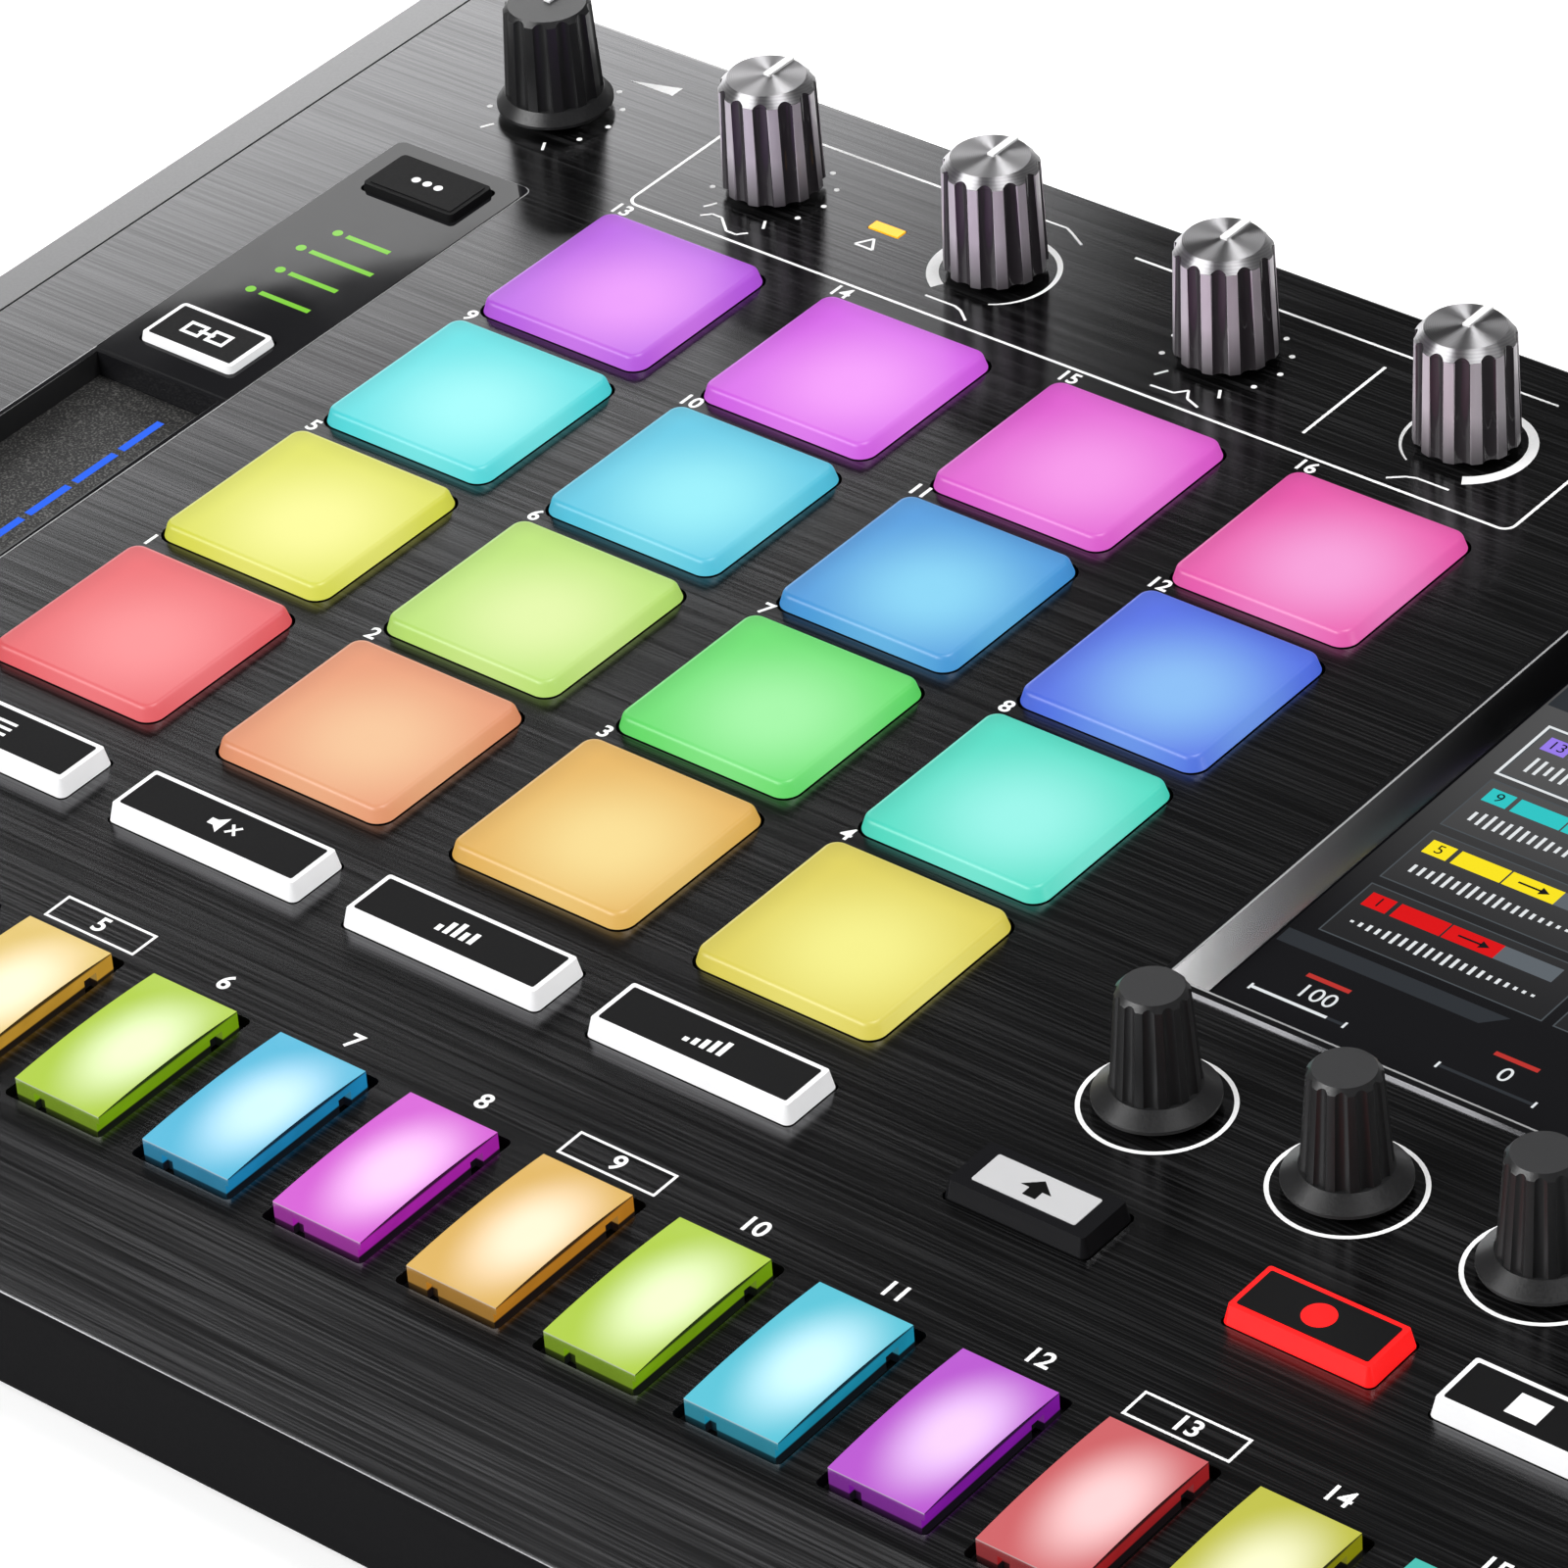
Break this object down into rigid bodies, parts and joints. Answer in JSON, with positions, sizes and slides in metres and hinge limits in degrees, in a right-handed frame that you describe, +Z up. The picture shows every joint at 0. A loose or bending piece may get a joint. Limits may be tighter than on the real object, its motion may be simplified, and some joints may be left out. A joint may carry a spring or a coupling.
{
  "type": "audio sampler",
  "caption": "Desktop audio sampler with a tilted brushed black panel, backlit square pads, a row of lit step keys, fluted knobs, a touch strip and a sunk touch display.",
  "frame": {"origin": "middle of the underside, on the surface that the feet stand on", "axes": "+X to the right of the player, +Y to the back, +Z up"},
  "size_m": [0.438, 0.2976, 0.0762],
  "materials": {
    "panel_black": "black anodised, brushed left to right",
    "rail_grey": "satin anodised",
    "case_black": "fine matt",
    "display_black": "gloss",
    "strip_black": "gloss",
    "board_green": "solder mask",
    "socket_black": "moulded",
    "foot_rubber": "matt rubber",
    "knob_dark": "gloss, fluted",
    "encoder_black": "satin, fluted",
    "button_white": "translucent, lit",
    "button_red": "translucent, lit",
    "button_black": "gloss",
    "pad_red": "translucent silicone, lit",
    "pad_orange": "translucent silicone, lit",
    "pad_amber": "translucent silicone, lit",
    "pad_yellow": "translucent silicone, lit",
    "pad_olive": "translucent silicone, lit",
    "pad_lime": "translucent silicone, lit",
    "pad_green": "translucent silicone, lit",
    "pad_sea_green": "translucent silicone, lit",
    "pad_turquoise": "translucent silicone, lit",
    "pad_cyan": "translucent silicone, lit",
    "pad_blue": "translucent silicone, lit",
    "pad_indigo": "translucent silicone, lit",
    "pad_violet": "translucent silicone, lit",
    "pad_purple": "translucent silicone, lit",
    "pad_magenta": "translucent silicone, lit",
    "pad_pink": "translucent silicone, lit",
    "key_amber": "translucent, lit",
    "key_blue": "translucent, lit",
    "key_cream": "translucent, lit",
    "key_cyan": "translucent, lit",
    "key_indigo": "translucent, lit",
    "key_lime": "translucent, lit",
    "key_olive": "translucent, lit",
    "key_purple": "translucent, lit",
    "key_red": "translucent, lit",
    "key_turquoise": "translucent, lit",
    "key_violet": "translucent, lit"
  },
  "bodies": {
    "chassis": {"top_panel": "panel_black", "lower_case": "case_black", "side_rails": "rail_grey", "display_module": "display_black", "touch_strip": "strip_black", "circuit_boards": "board_green", "rear_sockets": "socket_black", "feet_and_screws": "foot_rubber"},
    "pad_01": {"pad_01": "pad_red"},
    "pad_02": {"pad_02": "pad_orange"},
    "pad_03": {"pad_03": "pad_amber"},
    "pad_04": {"pad_04": "pad_yellow"},
    "pad_05": {"pad_05": "pad_olive"},
    "pad_06": {"pad_06": "pad_lime"},
    "pad_07": {"pad_07": "pad_green"},
    "pad_08": {"pad_08": "pad_sea_green"},
    "pad_09": {"pad_09": "pad_turquoise"},
    "pad_10": {"pad_10": "pad_cyan"},
    "pad_11": {"pad_11": "pad_blue"},
    "pad_12": {"pad_12": "pad_indigo"},
    "pad_13": {"pad_13": "pad_violet"},
    "pad_14": {"pad_14": "pad_purple"},
    "pad_15": {"pad_15": "pad_magenta"},
    "pad_16": {"pad_16": "pad_pink"},
    "step_key_01": {"step_key_01": "key_red"},
    "step_key_02": {"step_key_02": "key_olive"},
    "step_key_03": {"step_key_03": "key_turquoise"},
    "step_key_04": {"step_key_04": "key_indigo"},
    "step_key_05": {"step_key_05": "key_cream"},
    "step_key_06": {"step_key_06": "key_lime"},
    "step_key_07": {"step_key_07": "key_blue"},
    "step_key_08": {"step_key_08": "key_purple"},
    "step_key_09": {"step_key_09": "key_amber"},
    "step_key_10": {"step_key_10": "key_lime"},
    "step_key_11": {"step_key_11": "key_cyan"},
    "step_key_12": {"step_key_12": "key_violet"},
    "step_key_13": {"step_key_13": "key_red"},
    "step_key_14": {"step_key_14": "key_olive"},
    "step_key_15": {"step_key_15": "key_turquoise"},
    "step_key_16": {"step_key_16": "key_indigo"},
    "track_button": {"track_button": "button_white"},
    "mute_button": {"mute_button": "button_white"},
    "slice_button": {"slice_button": "button_white"},
    "scale_button": {"scale_button": "button_white"},
    "stop_button": {"stop_button": "button_white"},
    "play_button": {"play_button": "button_white"},
    "hold_button": {"hold_button": "button_white"},
    "record_button": {"record_button": "button_red"},
    "shift_button": {"shift_button": "button_black"},
    "mode_button": {"mode_button": "button_black"},
    "main_level_knob": {"main_level_knob": "encoder_black"},
    "drive_knob": {"drive_knob": "knob_dark"},
    "low_cutoff_knob": {"low_cutoff_knob": "knob_dark"},
    "resonance_knob": {"resonance_knob": "knob_dark"},
    "high_cutoff_knob": {"high_cutoff_knob": "knob_dark"},
    "encoder_1": {"encoder_1": "encoder_black"},
    "encoder_2": {"encoder_2": "encoder_black"},
    "encoder_3": {"encoder_3": "encoder_black"},
    "encoder_4": {"encoder_4": "encoder_black"},
    "encoder_5": {"encoder_5": "encoder_black"}
  },
  "joints": [
    {"name": "pad_01_press", "type": "slide", "parent": "chassis", "child": "pad_01", "axis": [0, 0.0872, -0.9962], "range_m": [0, 0.0008], "stiffness_N_per_m": 1500, "springref_m": -0.0006},
    {"name": "pad_02_press", "type": "slide", "parent": "chassis", "child": "pad_02", "axis": [0, 0.0872, -0.9962], "range_m": [0, 0.0008], "stiffness_N_per_m": 1500, "springref_m": -0.0006},
    {"name": "pad_03_press", "type": "slide", "parent": "chassis", "child": "pad_03", "axis": [0, 0.0872, -0.9962], "range_m": [0, 0.0008], "stiffness_N_per_m": 1500, "springref_m": -0.0006},
    {"name": "pad_04_press", "type": "slide", "parent": "chassis", "child": "pad_04", "axis": [0, 0.0872, -0.9962], "range_m": [0, 0.0008], "stiffness_N_per_m": 1500, "springref_m": -0.0006},
    {"name": "pad_05_press", "type": "slide", "parent": "chassis", "child": "pad_05", "axis": [0, 0.0872, -0.9962], "range_m": [0, 0.0008], "stiffness_N_per_m": 1500, "springref_m": -0.0006},
    {"name": "pad_06_press", "type": "slide", "parent": "chassis", "child": "pad_06", "axis": [0, 0.0872, -0.9962], "range_m": [0, 0.0008], "stiffness_N_per_m": 1500, "springref_m": -0.0006},
    {"name": "pad_07_press", "type": "slide", "parent": "chassis", "child": "pad_07", "axis": [0, 0.0872, -0.9962], "range_m": [0, 0.0008], "stiffness_N_per_m": 1500, "springref_m": -0.0006},
    {"name": "pad_08_press", "type": "slide", "parent": "chassis", "child": "pad_08", "axis": [0, 0.0872, -0.9962], "range_m": [0, 0.0008], "stiffness_N_per_m": 1500, "springref_m": -0.0006},
    {"name": "pad_09_press", "type": "slide", "parent": "chassis", "child": "pad_09", "axis": [0, 0.0872, -0.9962], "range_m": [0, 0.0008], "stiffness_N_per_m": 1500, "springref_m": -0.0006},
    {"name": "pad_10_press", "type": "slide", "parent": "chassis", "child": "pad_10", "axis": [0, 0.0872, -0.9962], "range_m": [0, 0.0008], "stiffness_N_per_m": 1500, "springref_m": -0.0006},
    {"name": "pad_11_press", "type": "slide", "parent": "chassis", "child": "pad_11", "axis": [0, 0.0872, -0.9962], "range_m": [0, 0.0008], "stiffness_N_per_m": 1500, "springref_m": -0.0006},
    {"name": "pad_12_press", "type": "slide", "parent": "chassis", "child": "pad_12", "axis": [0, 0.0872, -0.9962], "range_m": [0, 0.0008], "stiffness_N_per_m": 1500, "springref_m": -0.0006},
    {"name": "pad_13_press", "type": "slide", "parent": "chassis", "child": "pad_13", "axis": [0, 0.0872, -0.9962], "range_m": [0, 0.0008], "stiffness_N_per_m": 1500, "springref_m": -0.0006},
    {"name": "pad_14_press", "type": "slide", "parent": "chassis", "child": "pad_14", "axis": [0, 0.0872, -0.9962], "range_m": [0, 0.0008], "stiffness_N_per_m": 1500, "springref_m": -0.0006},
    {"name": "pad_15_press", "type": "slide", "parent": "chassis", "child": "pad_15", "axis": [0, 0.0872, -0.9962], "range_m": [0, 0.0008], "stiffness_N_per_m": 1500, "springref_m": -0.0006},
    {"name": "pad_16_press", "type": "slide", "parent": "chassis", "child": "pad_16", "axis": [0, 0.0872, -0.9962], "range_m": [0, 0.0008], "stiffness_N_per_m": 1500, "springref_m": -0.0006},
    {"name": "step_key_01_press", "type": "slide", "parent": "chassis", "child": "step_key_01", "axis": [0, 0.0872, -0.9962], "range_m": [0, 0.0012], "stiffness_N_per_m": 800, "springref_m": -0.0006},
    {"name": "step_key_02_press", "type": "slide", "parent": "chassis", "child": "step_key_02", "axis": [0, 0.0872, -0.9962], "range_m": [0, 0.0012], "stiffness_N_per_m": 800, "springref_m": -0.0006},
    {"name": "step_key_03_press", "type": "slide", "parent": "chassis", "child": "step_key_03", "axis": [0, 0.0872, -0.9962], "range_m": [0, 0.0012], "stiffness_N_per_m": 800, "springref_m": -0.0006},
    {"name": "step_key_04_press", "type": "slide", "parent": "chassis", "child": "step_key_04", "axis": [0, 0.0872, -0.9962], "range_m": [0, 0.0012], "stiffness_N_per_m": 800, "springref_m": -0.0006},
    {"name": "step_key_05_press", "type": "slide", "parent": "chassis", "child": "step_key_05", "axis": [0, 0.0872, -0.9962], "range_m": [0, 0.0012], "stiffness_N_per_m": 800, "springref_m": -0.0006},
    {"name": "step_key_06_press", "type": "slide", "parent": "chassis", "child": "step_key_06", "axis": [0, 0.0872, -0.9962], "range_m": [0, 0.0012], "stiffness_N_per_m": 800, "springref_m": -0.0006},
    {"name": "step_key_07_press", "type": "slide", "parent": "chassis", "child": "step_key_07", "axis": [0, 0.0872, -0.9962], "range_m": [0, 0.0012], "stiffness_N_per_m": 800, "springref_m": -0.0006},
    {"name": "step_key_08_press", "type": "slide", "parent": "chassis", "child": "step_key_08", "axis": [0, 0.0872, -0.9962], "range_m": [0, 0.0012], "stiffness_N_per_m": 800, "springref_m": -0.0006},
    {"name": "step_key_09_press", "type": "slide", "parent": "chassis", "child": "step_key_09", "axis": [0, 0.0872, -0.9962], "range_m": [0, 0.0012], "stiffness_N_per_m": 800, "springref_m": -0.0006},
    {"name": "step_key_10_press", "type": "slide", "parent": "chassis", "child": "step_key_10", "axis": [0, 0.0872, -0.9962], "range_m": [0, 0.0012], "stiffness_N_per_m": 800, "springref_m": -0.0006},
    {"name": "step_key_11_press", "type": "slide", "parent": "chassis", "child": "step_key_11", "axis": [0, 0.0872, -0.9962], "range_m": [0, 0.0012], "stiffness_N_per_m": 800, "springref_m": -0.0006},
    {"name": "step_key_12_press", "type": "slide", "parent": "chassis", "child": "step_key_12", "axis": [0, 0.0872, -0.9962], "range_m": [0, 0.0012], "stiffness_N_per_m": 800, "springref_m": -0.0006},
    {"name": "step_key_13_press", "type": "slide", "parent": "chassis", "child": "step_key_13", "axis": [0, 0.0872, -0.9962], "range_m": [0, 0.0012], "stiffness_N_per_m": 800, "springref_m": -0.0006},
    {"name": "step_key_14_press", "type": "slide", "parent": "chassis", "child": "step_key_14", "axis": [0, 0.0872, -0.9962], "range_m": [0, 0.0012], "stiffness_N_per_m": 800, "springref_m": -0.0006},
    {"name": "step_key_15_press", "type": "slide", "parent": "chassis", "child": "step_key_15", "axis": [0, 0.0872, -0.9962], "range_m": [0, 0.0012], "stiffness_N_per_m": 800, "springref_m": -0.0006},
    {"name": "step_key_16_press", "type": "slide", "parent": "chassis", "child": "step_key_16", "axis": [0, 0.0872, -0.9962], "range_m": [0, 0.0012], "stiffness_N_per_m": 800, "springref_m": -0.0006},
    {"name": "track_button_press", "type": "slide", "parent": "chassis", "child": "track_button", "axis": [0, 0.0872, -0.9962], "range_m": [0, 0.001], "stiffness_N_per_m": 800, "springref_m": -0.0006},
    {"name": "mute_button_press", "type": "slide", "parent": "chassis", "child": "mute_button", "axis": [0, 0.0872, -0.9962], "range_m": [0, 0.001], "stiffness_N_per_m": 800, "springref_m": -0.0006},
    {"name": "slice_button_press", "type": "slide", "parent": "chassis", "child": "slice_button", "axis": [0, 0.0872, -0.9962], "range_m": [0, 0.001], "stiffness_N_per_m": 800, "springref_m": -0.0006},
    {"name": "scale_button_press", "type": "slide", "parent": "chassis", "child": "scale_button", "axis": [0, 0.0872, -0.9962], "range_m": [0, 0.001], "stiffness_N_per_m": 800, "springref_m": -0.0006},
    {"name": "stop_button_press", "type": "slide", "parent": "chassis", "child": "stop_button", "axis": [0, 0.0872, -0.9962], "range_m": [0, 0.001], "stiffness_N_per_m": 800, "springref_m": -0.0006},
    {"name": "play_button_press", "type": "slide", "parent": "chassis", "child": "play_button", "axis": [0, 0.0872, -0.9962], "range_m": [0, 0.001], "stiffness_N_per_m": 800, "springref_m": -0.0006},
    {"name": "hold_button_press", "type": "slide", "parent": "chassis", "child": "hold_button", "axis": [0, 0.0872, -0.9962], "range_m": [0, 0.001], "stiffness_N_per_m": 800, "springref_m": -0.0006},
    {"name": "record_button_press", "type": "slide", "parent": "chassis", "child": "record_button", "axis": [0, 0.0872, -0.9962], "range_m": [0, 0.001], "stiffness_N_per_m": 800, "springref_m": -0.0006},
    {"name": "shift_button_press", "type": "slide", "parent": "chassis", "child": "shift_button", "axis": [0, 0.0872, -0.9962], "range_m": [0, 0.001], "stiffness_N_per_m": 800, "springref_m": -0.0006},
    {"name": "mode_button_press", "type": "slide", "parent": "chassis", "child": "mode_button", "axis": [0, 0.0872, -0.9962], "range_m": [0, 0.001], "stiffness_N_per_m": 800, "springref_m": -0.0006},
    {"name": "main_level_knob_turn", "type": "hinge", "parent": "chassis", "child": "main_level_knob", "pos_m": [-0.1756, 0.12262, 0.05391], "axis": [0, -0.0872, 0.9962], "range_deg": [-150, 150]},
    {"name": "drive_knob_turn", "type": "hinge", "parent": "chassis", "child": "drive_knob", "pos_m": [-0.1288, 0.12262, 0.05391], "axis": [0, -0.0872, 0.9962], "range_deg": [-150, 150]},
    {"name": "low_cutoff_knob_turn", "type": "hinge", "parent": "chassis", "child": "low_cutoff_knob", "pos_m": [-0.0831, 0.12262, 0.05391], "axis": [0, -0.0872, 0.9962], "range_deg": [-150, 150]},
    {"name": "resonance_knob_turn", "type": "hinge", "parent": "chassis", "child": "resonance_knob", "pos_m": [-0.0374, 0.12262, 0.05391], "axis": [0, -0.0872, 0.9962], "range_deg": [-150, 150]},
    {"name": "high_cutoff_knob_turn", "type": "hinge", "parent": "chassis", "child": "high_cutoff_knob", "pos_m": [0.0083, 0.12262, 0.05391], "axis": [0, -0.0872, 0.9962], "range_deg": [-150, 150]},
    {"name": "encoder_1_turn", "type": "hinge", "parent": "chassis", "child": "encoder_1", "pos_m": [0.0655, -0.03528, 0.0401], "axis": [0, -0.0872, 0.9962], "continuous": true},
    {"name": "encoder_2_turn", "type": "hinge", "parent": "chassis", "child": "encoder_2", "pos_m": [0.0975, -0.03528, 0.0401], "axis": [0, -0.0872, 0.9962], "continuous": true},
    {"name": "encoder_3_turn", "type": "hinge", "parent": "chassis", "child": "encoder_3", "pos_m": [0.1295, -0.03528, 0.0401], "axis": [0, -0.0872, 0.9962], "continuous": true},
    {"name": "encoder_4_turn", "type": "hinge", "parent": "chassis", "child": "encoder_4", "pos_m": [0.1615, -0.03528, 0.0401], "axis": [0, -0.0872, 0.9962], "continuous": true},
    {"name": "encoder_5_turn", "type": "hinge", "parent": "chassis", "child": "encoder_5", "pos_m": [0.1935, -0.03528, 0.0401], "axis": [0, -0.0872, 0.9962], "continuous": true}
  ]
}
